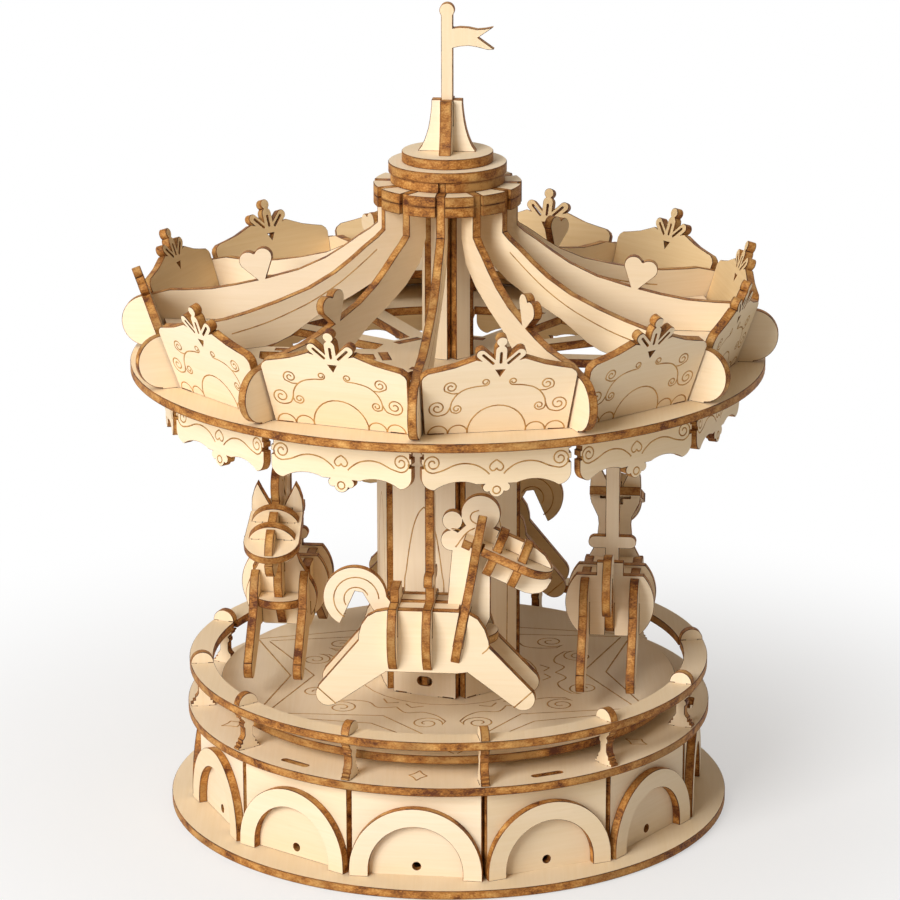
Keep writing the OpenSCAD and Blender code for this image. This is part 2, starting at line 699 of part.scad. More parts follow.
module face_shape() difference() {
  union() {
    polygon([[0, -6.1], [15, -6.6], [15, 6.6], [0, 6.1]]);
    intersection() {
      translate([15, 0]) circle(6.7);
      box2(14, -6.6, 24, 6.6);
    }
  }
  box2(-1, -sheet / 2 - slot_play, 10, sheet / 2 + slot_play);
  for (s = [0, 1]) mirror([0, s]) {
    box2(cross_s - cross_w / 2, cross_in - slot_play, cross_s + cross_w / 2, 7);
    for (p = brows)
      box2(p[0] - sheet / 2 - slot_play, 3 - slot_play, p[0] + sheet / 2 + slot_play, 4.7 + slot_play);
  }
}

module brow_top(h) difference() {
  union() {
    intersection() {
      translate([0, h - brow_r]) circle(brow_r);
      box2(-brow_r, sheet / 2 + 0.02, brow_r, h);
    }
    for (s = [0, 1]) mirror([s, 0]) box2(3, -sheet / 2, 4.7, sheet / 2 + 0.1);
  }
  box2(-sheet / 2 - slot_play, 0, sheet / 2 + slot_play, brow_slot);
}

module brow_low(h) difference() {
  intersection() {
    translate([0, h - brow_r]) circle(brow_r);
    box2(-brow_r, -6, brow_r, -sheet / 2 - 0.02);
  }
  box2(-sheet / 2 - slot_play, -brow_r - 2, sheet / 2 + slot_play, 0);
}

module horse_head(k) color("Tan") place_horse(k)
  translate([face_o[0], 0, face_o[1]]) rotate([0, -face_tilt, 0]) {
    translate([0, 0, -sheet / 2]) linear_extrude(sheet) face_shape();
    for (p = brows) translate([p[0], 0, 0]) across() {
      brow_top(p[1]);
      brow_low(p[1]);
    }
  }

module horse_a_spine() horse_spine(0);
module horse_a_legs() horse_legs(0);
module horse_a_strip() horse_strip(0);
module horse_a_hoops() horse_hoops(0);
module horse_a_head() horse_head(0);
module horse_b_spine() horse_spine(1);
module horse_b_legs() horse_legs(1);
module horse_b_strip() horse_strip(1);
module horse_b_hoops() horse_hoops(1);
module horse_b_head() horse_head(1);
module horse_c_spine() horse_spine(2);
module horse_c_legs() horse_legs(2);
module horse_c_strip() horse_strip(2);
module horse_c_hoops() horse_hoops(2);
module horse_c_head() horse_head(2);
module horse_d_spine() horse_spine(3);
module horse_d_legs() horse_legs(3);
module horse_d_strip() horse_strip(3);
module horse_d_hoops() horse_hoops(3);
module horse_d_head() horse_head(3);

base_plate();
wall_panels();
arch_trims();
deck_plate();
rail_posts();
rail_ring();
movement_bed();
movement_bridge();
spring_drum();
mainspring();
tune_comb();
comb_block();
governor_case();
arbor_bush();
tune_roll();
governor_rotor();
turntable();
hub_disc();
drive_arbor();
arbor_collar();
drive_wheel();
column_panels();
column_spacers();
canopy_floor();
kerb_panels();
fascia_panels();
valance_panels();
heart_ribs();
slit_ribs();
mast_panels();
crown_ring_low();
crown_ring_high();
crown_disc_low();
crown_disc_high();
crown_cap();
spire_fin_wide();
spire_fin_deep();
flag();
horse_a_spine();
horse_a_legs();
horse_a_strip();
horse_a_hoops();
horse_a_head();
horse_b_spine();
horse_b_legs();
horse_b_strip();
horse_b_hoops();
horse_b_head();
horse_c_spine();
horse_c_legs();
horse_c_strip();
horse_c_hoops();
horse_c_head();
horse_d_spine();
horse_d_legs();
horse_d_strip();
horse_d_hoops();
horse_d_head();
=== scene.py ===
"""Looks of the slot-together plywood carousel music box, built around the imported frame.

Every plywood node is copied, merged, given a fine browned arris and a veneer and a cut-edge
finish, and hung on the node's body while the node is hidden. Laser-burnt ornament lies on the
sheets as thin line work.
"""

import json
import logging
import math
import random
from abc import ABC, abstractmethod
from collections.abc import Iterable, Iterator
from contextlib import contextmanager
from dataclasses import dataclass, field
from enum import Enum

import bpy
from mathutils import Matrix, Vector

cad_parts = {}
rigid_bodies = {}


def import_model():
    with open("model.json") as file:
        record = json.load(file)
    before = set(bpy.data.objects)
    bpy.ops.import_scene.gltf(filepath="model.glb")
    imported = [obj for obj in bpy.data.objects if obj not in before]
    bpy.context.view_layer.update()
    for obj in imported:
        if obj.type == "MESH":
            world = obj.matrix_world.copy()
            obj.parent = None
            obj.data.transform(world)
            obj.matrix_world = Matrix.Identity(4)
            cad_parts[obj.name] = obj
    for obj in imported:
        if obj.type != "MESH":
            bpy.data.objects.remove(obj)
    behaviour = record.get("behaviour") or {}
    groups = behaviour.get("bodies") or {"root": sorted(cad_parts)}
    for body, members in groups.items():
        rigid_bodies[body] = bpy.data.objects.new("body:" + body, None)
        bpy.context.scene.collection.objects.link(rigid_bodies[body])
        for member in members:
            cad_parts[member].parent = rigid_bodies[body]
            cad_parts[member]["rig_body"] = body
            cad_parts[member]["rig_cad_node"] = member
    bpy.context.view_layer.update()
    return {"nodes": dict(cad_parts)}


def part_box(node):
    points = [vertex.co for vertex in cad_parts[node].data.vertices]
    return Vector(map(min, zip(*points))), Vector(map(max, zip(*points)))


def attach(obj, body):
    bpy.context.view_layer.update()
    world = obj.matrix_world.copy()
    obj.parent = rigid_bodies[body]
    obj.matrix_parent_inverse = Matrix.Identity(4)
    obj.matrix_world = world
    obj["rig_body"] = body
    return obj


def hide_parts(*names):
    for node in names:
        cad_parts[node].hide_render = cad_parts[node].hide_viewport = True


LOG = logging.getLogger("carousel")

MM = 0.001  # metres in a millimetre
SHEET = 2.1  # thickness of the plywood, in millimetres
SIDES = 12  # walls, fascia panels, valance panels and ribs
SIXTHS = 6  # column panels, slit ribs, deck stars and repeats of the floor's ornament
HALF_SIDE = 180.0 / SIDES  # degrees from a rib to the middle of the panel beside it
REST_TURN = -5.5  # degrees that the canopy and the horses stand turned from the front
FOOT_LINE = 0.14  # millimetres from a floor up to the middle of a foot's dark dash of painted slot shade
ARC_STEP = 11.0  # degrees of an arc in each of its pieces
SPIRAL_STEP = 18.0  # degrees of a spiral in each of its pieces

Colour = tuple[int, int, int]
Rgba = tuple[float, float, float, float]
Triple = tuple[float, float, float]
Point = tuple[float, float]
Line = list[Point]

BLACK: Rgba = (0.0, 0.0, 0.0, 1.0)
WHITE: Rgba = (1.0, 1.0, 1.0, 1.0)


class Body(Enum):
    """The bodies that pieces ride on."""

    BASE = "base"
    CAROUSEL = "carousel"


class Stroke(Enum):
    """Kinds of burnt line, each with its width in millimetres; a slot's line is a soot-dark dash of
    painted shade for the slot's gap.
    """

    FINE = 0.3
    SCROLL = 0.34
    SLOT = 0.36
    BROAD = 0.4


# ---------------------------------------------------------------- node trees


def linear(colour: Colour) -> Rgba:
    """Turn a display colour into the linear colour a shader takes.

    Args:
        colour: red, green and blue, 0 to 255.

    Returns:
        The linear colour with full alpha.
    """
    shares = (value / 255 for value in colour)
    red, green, blue = (share / 12.92 if share <= 0.04045 else ((share + 0.055) / 1.055) ** 2.4
                        for share in shares)
    return (red, green, blue, 1.0)


class Nodes:
    """A node tree, with short calls for adding and joining nodes."""

    def __init__(self, tree: bpy.types.NodeTree) -> None:
        """Take a tree.

        Args:
            tree: the tree that the calls add to.
        """
        self.tree = tree

    def add(self, kind: str, **inputs: object) -> bpy.types.Node:
        """Add a node and set its inputs and properties by name.

        Args:
            kind: the node type without its ShaderNode prefix.
            **inputs: values for properties, or for sockets with spaces written as underscores.

        Returns:
            The new node.
        """
        node = self.tree.nodes.new("ShaderNode" + kind)
        for key, value in inputs.items():
            if hasattr(node, key):
                setattr(node, key, value)
            else:
                node.inputs[key.replace("_", " ")].default_value = value
        return node

    def put(self, value: object, node: bpy.types.Node, socket: str | int) -> None:
        """Link an output to an input, or set the input to a constant.

        Args:
            value: an output socket, or the constant.
            node: the node that takes it.
            socket: the input's name or number.
        """
        if isinstance(value, bpy.types.NodeSocket):
            self.tree.links.new(value, node.inputs[socket])
        else:
            node.inputs[socket].default_value = value

    def maths(self, operation: str, first: object, second: object) -> bpy.types.NodeSocket:
        """Add a maths node.

        Args:
            operation: the operation's name.
            first: a socket or a number.
            second: a socket or a number.

        Returns:
            The result's socket.
        """
        node = self.add("Math", operation=operation)
        self.put(first, node, 0)
        self.put(second, node, 1)
        return node.outputs[0]

    def weighted(self, *parts: tuple[bpy.types.NodeSocket, float]) -> bpy.types.NodeSocket:
        """Add patterns up, each with its share.

        Args:
            *parts: patterns and their shares.

        Returns:
            The sum's socket.
        """
        scaled = [self.maths("MULTIPLY", pattern, share) for pattern, share in parts]
        total = scaled[0]
        for item in scaled[1:]:
            total = self.maths("ADD", total, item)
        return total

    def noise(self, vector: bpy.types.NodeSocket, scale: float, detail: float = 3.0,
              rough: float = 0.55) -> bpy.types.NodeSocket:
        """Add a noise pattern.

        Args:
            vector: where the pattern is read.
            scale: repeats for each unit of the vector.
            detail: octaves.
            rough: how strong the finer octaves are.

        Returns:
            The pattern's value, about 0.5 on average.
        """
        node = self.add("TexNoise", Scale=scale, Detail=detail, Roughness=rough)
        self.put(vector, node, "Vector")
        return node.outputs["Fac"]

    def drawn_noise(self, vector: bpy.types.NodeSocket, repeats: Triple,
                    detail: float = 3.0, rough: float = 0.55) -> bpy.types.NodeSocket:
        """Add a noise pattern that is drawn out more along one axis than another.

        Args:
            vector: where the pattern is read.
            repeats: repeats for each unit of the vector, along each axis.
            detail: octaves.
            rough: how strong the finer octaves are.

        Returns:
            The pattern's value, about 0.5 on average.
        """
        stretch = self.add("Mapping", Scale=repeats)
        self.put(vector, stretch, "Vector")
        return self.noise(stretch.outputs["Vector"], 1.0, detail, rough)

    def ramp(self, value: bpy.types.NodeSocket, stops: tuple[float, ...],
             colours: Iterable[Rgba]) -> bpy.types.NodeSocket:
        """Turn a value into a colour.

        Args:
            value: the value.
            stops: places from 0 to 1.
            colours: the colour at each place.

        Returns:
            The colour's socket.
        """
        node = self.add("ValToRGB")
        elements = node.color_ramp.elements
        while len(elements) < len(stops):
            elements.new(0.5)
        for element, place, colour in zip(elements, stops, colours):
            element.position = place
            element.color = colour
        self.put(value, node, "Fac")
        return node.outputs["Color"]

    def mix(self, share: object, first: object, second: object) -> bpy.types.NodeSocket:
        """Mix two colours.

        Args:
            share: how much of the second colour.
            first: a socket or a colour.
            second: a socket or a colour.

        Returns:
            The mixed colour's socket.
        """
        node = self.add("Mix", data_type="RGBA")
        for socket, value in ((0, share), (6, first), (7, second)):
            self.put(value, node, socket)
        return node.outputs[2]

    def stain(self, colour: bpy.types.NodeSocket, pattern: bpy.types.NodeSocket,
              stops: tuple[float, float], share: float, shade: Colour) -> bpy.types.NodeSocket:
        """Darken a colour where a pattern is high.

        Args:
            colour: the colour under the stain.
            pattern: where the stain lies.
            stops: the pattern's values at which the stain starts and is full.
            share: how much a full stain covers.
            shade: the stain's colour.

        Returns:
            The stained colour's socket.
        """
        mask = self.ramp(pattern, stops, (BLACK, WHITE))
        return self.mix(self.maths("MULTIPLY", mask, share), colour, linear(shade))

    def sees_white(self) -> bpy.types.NodeSocket:
        """Tell the rays that see the white surround from the rays that bring its light.

        Returns:
            A socket that is 1 for camera, glossy and transmission rays, and 0 for the others.
        """
        path = self.add("LightPath")
        seen = self.maths("MAXIMUM", path.outputs["Is Camera Ray"], path.outputs["Is Glossy Ray"])
        return self.maths("MAXIMUM", seen, path.outputs["Is Transmission Ray"])


class Surface(Nodes):
    """The node tree of a new material."""

    def __init__(self, name: str) -> None:
        """Start a material.

        Args:
            name: the material's name.
        """
        self.material = bpy.data.materials.new(name)
        self.material.use_nodes = True
        super().__init__(self.material.node_tree)
        self.shader = self.tree.nodes["Principled BSDF"]
        self.output = self.tree.nodes["Material Output"]

    def coat(self, colour: object, roughness: float, gloss: float) -> None:
        """Set what the shader shows.

        Args:
            colour: a socket or a colour.
            roughness: from 0 to 1.
            gloss: the specular level, 0.5 for a clear varnish.
        """
        self.put(colour, self.shader, "Base Color")
        self.put(roughness, self.shader, "Roughness")
        self.put(gloss, self.shader, "Specular IOR Level")

    def bump(self, height: bpy.types.NodeSocket, strength: float, distance: float) -> None:
        """Give the shader a bump.

        Args:
            height: the pattern.
            strength: from 0 to 1.
            distance: height of the full pattern, in metres.
        """
        node = self.add("Bump", Strength=strength, Distance=distance)
        self.put(height, node, "Height")
        self.put(node.outputs["Normal"], self.shader, "Normal")


# ---------------------------------------------------------------- finishes


class Finish(ABC):
    """How a surface looks."""

    @abstractmethod
    def build(self) -> bpy.types.Material:
        """Make the material.

        Returns:
            The finished material.
        """


@dataclass(frozen=True)
class VeneerFinish(Finish):
    """Raw basswood face veneer: pale cream with faint streaks, and a darker, yellower tone on faces
    that face the axis, for a back veneer with painted shade.
    """

    light: Colour = (249, 232, 208)
    dark: Colour = (230, 203, 158)
    # colour of faces that face the axis: yellower back veneer with painted shade
    back_veneer_and_shade: Colour = (208, 172, 118)
    pore: Colour = (190, 154, 108)
    streak_repeats: Triple = (55.0, 1300.0, 1.0)
    cloud_repeats: Triple = (12.0, 75.0, 1.0)
    pore_repeats: Triple = (260.0, 2600.0, 1.0)
    streak_share: float = 0.2
    cloud_share: float = 0.26
    base_tone: float = 0.21
    tone_stops: Triple = (0.25, 0.64, 0.95)
    pore_stops: tuple[float, float] = (0.66, 0.78)
    pore_share: float = 0.12
    roughness: float = 0.62
    gloss: float = 0.25
    relief: float = 0.2
    relief_height: float = 0.04 * MM

    def build(self) -> bpy.types.Material:
        """Make the material, on the sheets' grain map and tone attribute."""
        surface = Surface("basswood_veneer")
        grain = surface.add("UVMap", uv_map="grain").outputs["UV"]
        tone = surface.add("Attribute", attribute_name="tone").outputs["Fac"]
        streaks = surface.drawn_noise(grain, self.streak_repeats, 4.0, 0.6)
        clouds = surface.drawn_noise(grain, self.cloud_repeats)
        pores = surface.drawn_noise(grain, self.pore_repeats, 2.0)
        total = surface.weighted((streaks, self.streak_share), (clouds, self.cloud_share))
        total = surface.maths("ADD", surface.maths("ADD", total, self.base_tone), tone)
        colour = surface.ramp(total, self.tone_stops,
                              map(linear, (self.light, self.dark, self.back_veneer_and_shade)))
        colour = surface.stain(colour, pores, self.pore_stops, self.pore_share, self.pore)
        surface.coat(colour, self.roughness, self.gloss)
        surface.bump(streaks, self.relief, self.relief_height)
        return surface.material


@dataclass(frozen=True)
class BurntEdgeFinish(Finish):
    """Laser-cut ply edge: golden core with fine grit, darker skins and smoked patches."""

    char: Colour = (90, 45, 18)
    core: Colour = (172, 113, 50)
    glow: Colour = (222, 170, 98)
    skin: Colour = (78, 38, 16)
    squash: float = 1.6
    patch_repeats: float = 70.0
    blotch_repeats: float = 240.0
    grit_repeats: float = 1900.0
    patch_share: float = 0.32
    blotch_share: float = 0.41
    grit_share: float = 0.27
    burn_stops: Triple = (0.4, 0.49, 0.6)
    raggedness: float = 0.9
    skin_stops: tuple[float, float] = (0.62, 1.0)
    skin_share: float = 0.62
    smoke_stops: tuple[float, float] = (0.46, 0.66)
    smoke_share: float = 0.45
    roughness: float = 0.6
    gloss: float = 0.25
    relief: float = 0.4
    relief_height: float = 0.1 * MM

    def build(self) -> bpy.types.Material:
        """Make the material, on the sheets' ply attribute, which runs from -1 to 1 through them."""
        surface = Surface("burnt_edge")
        place = surface.add("Mapping", Scale=(1.0, 1.0, self.squash))
        surface.put(surface.add("TexCoord").outputs["Object"], place, "Vector")
        place = place.outputs["Vector"]
        patch = surface.noise(place, self.patch_repeats, 2.0, 0.5)
        blotch = surface.noise(place, self.blotch_repeats)
        grit = surface.noise(place, self.grit_repeats, 3.0, 0.62)
        total = surface.weighted((blotch, self.blotch_share), (grit, self.grit_share),
                                 (patch, self.patch_share))
        colour = surface.ramp(total, self.burn_stops,
                              map(linear, (self.char, self.core, self.glow)))
        ply = surface.add("Attribute", attribute_name="ply").outputs["Fac"]
        depth = surface.maths("ABSOLUTE", ply, 0.0)
        ragged = surface.maths("ADD", depth, surface.maths("MULTIPLY", blotch, self.raggedness))
        ragged = surface.maths("SUBTRACT", ragged, self.raggedness / 2)
        colour = surface.stain(colour, ragged, self.skin_stops, self.skin_share, self.skin)
        colour = surface.stain(colour, patch, self.smoke_stops, self.smoke_share, self.skin)
        surface.coat(colour, self.roughness, self.gloss)
        surface.bump(grit, self.relief, self.relief_height)
        return surface.material


@dataclass(frozen=True)
class ScorchFinish(Finish):
    """Wood that the laser has browned, in small dark and lighter beads, also used for dashes of
    painted slot shade.
    """

    name: str
    dark: Colour
    light: Colour
    repeats: float
    stops: tuple[float, float]
    roughness: float
    gloss: float

    def build(self) -> bpy.types.Material:
        """Make the material."""
        surface = Surface(self.name)
        beads = surface.noise(surface.add("TexCoord").outputs["Object"], self.repeats)
        colour = surface.ramp(beads, self.stops, map(linear, (self.dark, self.light)))
        surface.coat(colour, self.roughness, self.gloss)
        return surface.material


@dataclass(frozen=True)
class MetalFinish(Finish):
    """Machined metal of the hidden movement, with fine tool marks."""

    name: str
    colour: Colour
    roughness: float
    gloss: float = 0.5
    mark_repeats: Triple = (300.0, 4000.0, 300.0)
    mark_shade: float = 0.72
    mark_stops: tuple[float, float] = (0.3, 0.7)
    relief: float = 0.3
    relief_height: float = 0.02 * MM

    def build(self) -> bpy.types.Material:
        """Make the material."""
        surface = Surface(self.name)
        marks = surface.drawn_noise(surface.add("TexCoord").outputs["Object"], self.mark_repeats)
        light = linear(self.colour)
        dark = tuple(self.mark_shade * part for part in light[:3]) + (1.0,)
        colour = surface.ramp(marks, self.mark_stops, (dark, light))
        surface.coat(colour, self.roughness, self.gloss)
        surface.put(1.0, surface.shader, "Metallic")
        surface.bump(marks, self.relief, self.relief_height)
        return surface.material


@dataclass
class Workshop:
    """The finishes, made once and shared by every sub-assembly."""

    veneer: bpy.types.Material = field(init=False)
    edge: bpy.types.Material = field(init=False)
    rim: bpy.types.Material = field(init=False)
    etch: bpy.types.Material = field(init=False)
    brass: bpy.types.Material = field(init=False)
    steel: bpy.types.Material = field(init=False)

    def __post_init__(self) -> None:
        """Make each material."""
        self.veneer = VeneerFinish().build()
        self.edge = BurntEdgeFinish().build()
        # the charred rim is the burnt arris, and its dark colour also paints the shade of the slot
        # dashes
        self.rim = ScorchFinish("charred_rim_and_slot_shade", (62, 30, 14), (146, 94, 46), 260.0, (0.42, 0.6),
                                roughness=0.7, gloss=0.2).build()
        self.etch = ScorchFinish("etched_line", (154, 106, 54), (200, 154, 92), 420.0, (0.34, 0.56),
                                 roughness=0.75, gloss=0.15).build()
        self.brass = MetalFinish("satin_brass", (214, 176, 98), 0.32).build()
        self.steel = MetalFinish("ground_steel", (186, 186, 190), 0.38).build()


# ---------------------------------------------------------------- tools


def select_only(*objects: bpy.types.Object) -> None:
    """Leave only these objects selected, the first one active.

    Args:
        *objects: what to select.
    """
    if bpy.context.object and bpy.context.object.mode != "OBJECT":
        bpy.ops.object.mode_set(mode="OBJECT")
    bpy.ops.object.select_all(action="DESELECT")
    for item in objects:
        item.select_set(True)
    bpy.context.view_layer.objects.active = objects[0]


def duplicated(source: bpy.types.Object) -> bpy.types.Object:
    """Copy an object with its mesh.

    Args:
        source: what to copy.

    Returns:
        The copy.
    """
    select_only(source)
    bpy.ops.object.duplicate()
    return bpy.context.view_layer.objects.active


def joined(objects: list[bpy.types.Object], name: str) -> bpy.types.Object:
    """Join meshes to one piece.

    Args:
        objects: the meshes.
        name: the piece's name.

    Returns:
        The piece.
    """
    select_only(*objects)
    if len(objects) > 1:
        bpy.ops.object.join()
    piece = bpy.context.view_layer.objects.active
    piece.name = name
    piece.data.name = name
    return piece


@contextmanager
def editing(piece: bpy.types.Object) -> Iterator[None]:
    """Edit a piece with its whole mesh selected.

    Args:
        piece: what to edit.

    Yields:
        Nothing.
    """
    select_only(piece)
    bpy.ops.object.mode_set(mode="EDIT")
    bpy.ops.mesh.select_all(action="SELECT")
    yield
    bpy.ops.object.mode_set(mode="OBJECT")


@dataclass
class SheetDresser:
    """Turns a plywood CAD node into a dressed copy: fine arris, veneer faces, burnt edges."""

    workshop: Workshop
    arris: float = 0.13 * MM
    arris_from: float = math.radians(30)
    weld: float = 0.002 * MM
    flat_within: float = math.radians(0.4)
    smooth_angle: float = math.radians(24)
    parallel: float = 0.9995
    level: float = 0.9
    face_on: float = 0.98
    inward: float = -0.8
    tone_spread: float = 0.06
    # tone added on faces that face the axis: back veneer with painted shade
    back_veneer_and_shade_tone: float = 0.34
    grain_slip: float = 3.0

    def dress(self, node: str, source: bpy.types.Object, body: Body) -> bpy.types.Object:
        """Make the dressed copy of a node, hang it on the node's body and hide the node.

        Args:
            node: the CAD node's name.
            source: the node's object.
            body: the body it rides on.

        Returns:
            The dressed piece.
        """
        luck = random.Random(node)
        sheets = self._loose_sheets(source)
        for sheet in sheets:
            self._dress_sheet(sheet, luck)
        piece = joined(sheets, node + "_ply")
        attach(piece, body.value)
        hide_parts(node)
        return piece

    def _loose_sheets(self, source: bpy.types.Object) -> list[bpy.types.Object]:
        """Copy a node, weld its loose triangles, dissolve flat runs of them and part its sheets.

        Args:
            source: the node's object.

        Returns:
            The sheets, each an object of its own.
        """
        copy = duplicated(source)
        copy.parent = None
        copy.matrix_world = Matrix.Identity(4)
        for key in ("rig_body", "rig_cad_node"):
            if key in copy:
                del copy[key]
        copy.data.materials.clear()
        with editing(copy):
            bpy.ops.mesh.remove_doubles(threshold=self.weld)
            bpy.ops.mesh.dissolve_limited(angle_limit=self.flat_within)
            bpy.ops.mesh.normals_make_consistent(inside=False)
        with editing(copy):
            bpy.ops.mesh.separate(type="LOOSE")
        return list(bpy.context.selected_objects)

    def _dress_sheet(self, sheet: bpy.types.Object, luck: random.Random) -> None:
        """Give one flat sheet its materials, grain map, ply depth and arris.

        Args:
            sheet: the sheet.
            luck: where its tone and its place in the grain are drawn from.
        """
        mesh = sheet.data
        normal = self._sheet_normal(mesh)
        tone = luck.uniform(-self.tone_spread, self.tone_spread)
        slip = luck.uniform(0, self.grain_slip), luck.uniform(0, self.grain_slip)
        self._mark_depths(mesh, normal)
        self._mark_tones(mesh, tone)
        self._map_grain(mesh, normal, slip)
        for material in (self.workshop.veneer, self.workshop.edge, self.workshop.rim):
            mesh.materials.append(material)
        for face in mesh.polygons:
            face.material_index = 0 if abs(face.normal.dot(normal)) > self.face_on else 1
        self._cut_arris(sheet)

    def _sheet_normal(self, mesh: bpy.types.Mesh) -> Vector:
        """The direction that most of a sheet's area faces.

        Args:
            mesh: the sheet's mesh.

        Returns:
            The direction, one long.
        """
        areas: list[tuple[Vector, float]] = []
        for face in mesh.polygons:
            for place, (normal, area) in enumerate(areas):
                if abs(normal.dot(face.normal)) > self.parallel:
                    areas[place] = (normal, area + face.area)
                    break
            else:
                areas.append((face.normal.copy(), face.area))
        return max(areas, key=lambda entry: entry[1])[0].normalized()

    @staticmethod
    def _mark_depths(mesh: bpy.types.Mesh, normal: Vector) -> None:
        """Write how deep each point lies in the sheet, from -1 on one face to 1 on the other.

        Args:
            mesh: the sheet's mesh.
            normal: the direction through the sheet.
        """
        depths = [vertex.co.dot(normal) for vertex in mesh.vertices]
        middle = (max(depths) + min(depths)) / 2
        half = (max(depths) - min(depths)) / 2
        ply = mesh.attributes.new("ply", "FLOAT", "POINT")
        for mark, depth in zip(ply.data, depths):
            mark.value = (depth - middle) / half

    def _mark_tones(self, mesh: bpy.types.Mesh, tone: float) -> None:
        """Write the sheet's tone on its faces, and a darker one on those that face the axis: a back
        veneer tone with painted shade for the inner sides.

        Args:
            mesh: the sheet's mesh.
            tone: the sheet's own tone.
        """
        centre = sum((vertex.co for vertex in mesh.vertices), Vector()) / len(mesh.vertices)
        outward = Vector((centre.x, centre.y, 0.0)).normalized()
        shade = mesh.attributes.new("tone", "FLOAT", "FACE")
        for mark, face in zip(shade.data, mesh.polygons):
            inner = face.normal.dot(outward) < self.inward
            # faces that face the axis take the back veneer tone with painted shade
            mark.value = tone + (self.back_veneer_and_shade_tone if inner else 0.0)

    def _map_grain(self, mesh: bpy.types.Mesh, normal: Vector, slip: tuple[float, float]) -> None:
        """Lay a map in metres with U along the sheet's longer side, which the grain follows.

        Args:
            mesh: the sheet's mesh.
            normal: the direction through the sheet.
            slip: how far the map is moved along U and V.
        """
        if abs(normal.z) > self.level:
            across = Vector((1.0, 0.0, 0.0))
        else:
            across = normal.cross(Vector((0.0, 0.0, 1.0))).normalized()
        along = normal.cross(across).normalized()
        if self._span(mesh, along) < self._span(mesh, across):
            along, across = across, along
        grain = mesh.uv_layers.new(name="grain")
        for corner, loop in zip(grain.data, mesh.loops):
            point = mesh.vertices[loop.vertex_index].co
            corner.uv = (point.dot(along) + slip[0], point.dot(across) + slip[1])

    @staticmethod
    def _span(mesh: bpy.types.Mesh, direction: Vector) -> float:
        """How far a mesh reaches along a direction."""
        reach = [direction.dot(vertex.co) for vertex in mesh.vertices]
        return max(reach) - min(reach)

    def _cut_arris(self, sheet: bpy.types.Object) -> None:
        """Bevel the sheet's corners with the charred rim."""
        select_only(sheet)
        bevel = sheet.modifiers.new("arris", "BEVEL")
        bevel.width = self.arris
        bevel.segments = 1
        bevel.limit_method = "ANGLE"
        bevel.angle_limit = self.arris_from
        bevel.use_clamp_overlap = False
        bevel.material = 2
        bevel.miter_outer = "MITER_SHARP"
        bpy.ops.object.modifier_apply(modifier=bevel.name)
        bpy.ops.object.shade_smooth_by_angle(angle=self.smooth_angle)


# ---------------------------------------------------------------- line work


def arc(centre: Point, radius: float, start: float, end: float, tall: float = 1.0) -> Line:
    """Points along an arc.

    Args:
        centre: the arc's centre, in millimetres.
        radius: its radius.
        start: first angle in degrees, from the right, counter-clockwise.
        end: last angle.
        tall: height of the arc as a share of its width.

    Returns:
        The points.
    """
    count = max(6, int(abs(end - start) / ARC_STEP))
    turns = [math.radians(start + (end - start) * i / count) for i in range(count + 1)]
    return [(centre[0] + radius * math.cos(a), centre[1] + tall * radius * math.sin(a))
            for a in turns]


def spiral(centre: Point, outer: float, inner: float, start: float, sweep: float) -> Line:
    """Points along a spiral that winds in.

    Args:
        centre: the spiral's centre, in millimetres.
        outer: radius at its start.
        inner: radius at its end.
        start: first angle in degrees.
        sweep: the angle that it turns through, negative for clockwise.

    Returns:
        The points.
    """
    count = int(abs(sweep) / SPIRAL_STEP)
    points = []
    for i in range(count + 1):
        share = i / count
        radius = outer + (inner - outer) * share
        angle = math.radians(start + sweep * share)
        points.append((centre[0] + radius * math.cos(angle), centre[1] + radius * math.sin(angle)))
    return points


def smooth(points: Line, steps: int = 6) -> Line:
    """A soft line through given points, as a Catmull-Rom curve.

    Args:
        points: the points.
        steps: pieces between two of them.

    Returns:
        The points of the soft line.
    """
    ends = [points[0]] + points + [points[-1]]
    line = []
    for i in range(1, len(ends) - 2):
        before, here, there, after = (Vector(ends[i + k]) for k in (-1, 0, 1, 2))
        for step in range(steps):
            t = step / steps
            line.append(tuple(0.5 * ((2 * here) + (there - before) * t
                                     + (2 * before - 5 * here + 4 * there - after) * t * t
                                     + (3 * here - before - 3 * there + after) * t ** 3)))
    return line + [points[-1]]


def mirrored(lines: list[Line]) -> list[Line]:
    """The same lines and their mirror images across the vertical.

    Args:
        lines: the lines.

    Returns:
        Both sets.
    """
    return lines + [[(-u, v) for u, v in line] for line in lines]


def around_axis(phase: float, count: int) -> list[Matrix]:
    """Turns about the carousel's axis.

    Args:
        phase: the first turn in degrees, from the front.
        count: how many.

    Returns:
        One matrix for each turn.
    """
    return [Matrix.Rotation(math.radians(phase + 360 * k / count), 4, "Z") for k in range(count)]


def upright_face(distance: float, height: float, lean: float = 0.0) -> Matrix:
    """Where a drawing lies on a sheet that faces the front.

    Args:
        distance: from the axis to the sheet's outer face at the drawing's foot, in millimetres.
        height: of the drawing's origin above the table.
        lean: of the sheet from upright, outwards at its top, in degrees.

    Returns:
        The placing, in metres.
    """
    spot = Matrix.Translation((0, -distance * MM, height * MM))
    tilt = Matrix.Rotation(math.radians(lean + 90), 4, "X")
    return spot @ tilt @ Matrix.Scale(MM, 4)


def flat_face(height: float) -> Matrix:
    """Where a drawing lies on top of a level sheet: right is +X and up is +Y.

    Args:
        height: of the sheet's top, in millimetres.

    Returns:
        The placing, in metres.
    """
    return Matrix.Translation((0, 0, height * MM)) @ Matrix.Scale(MM, 4)


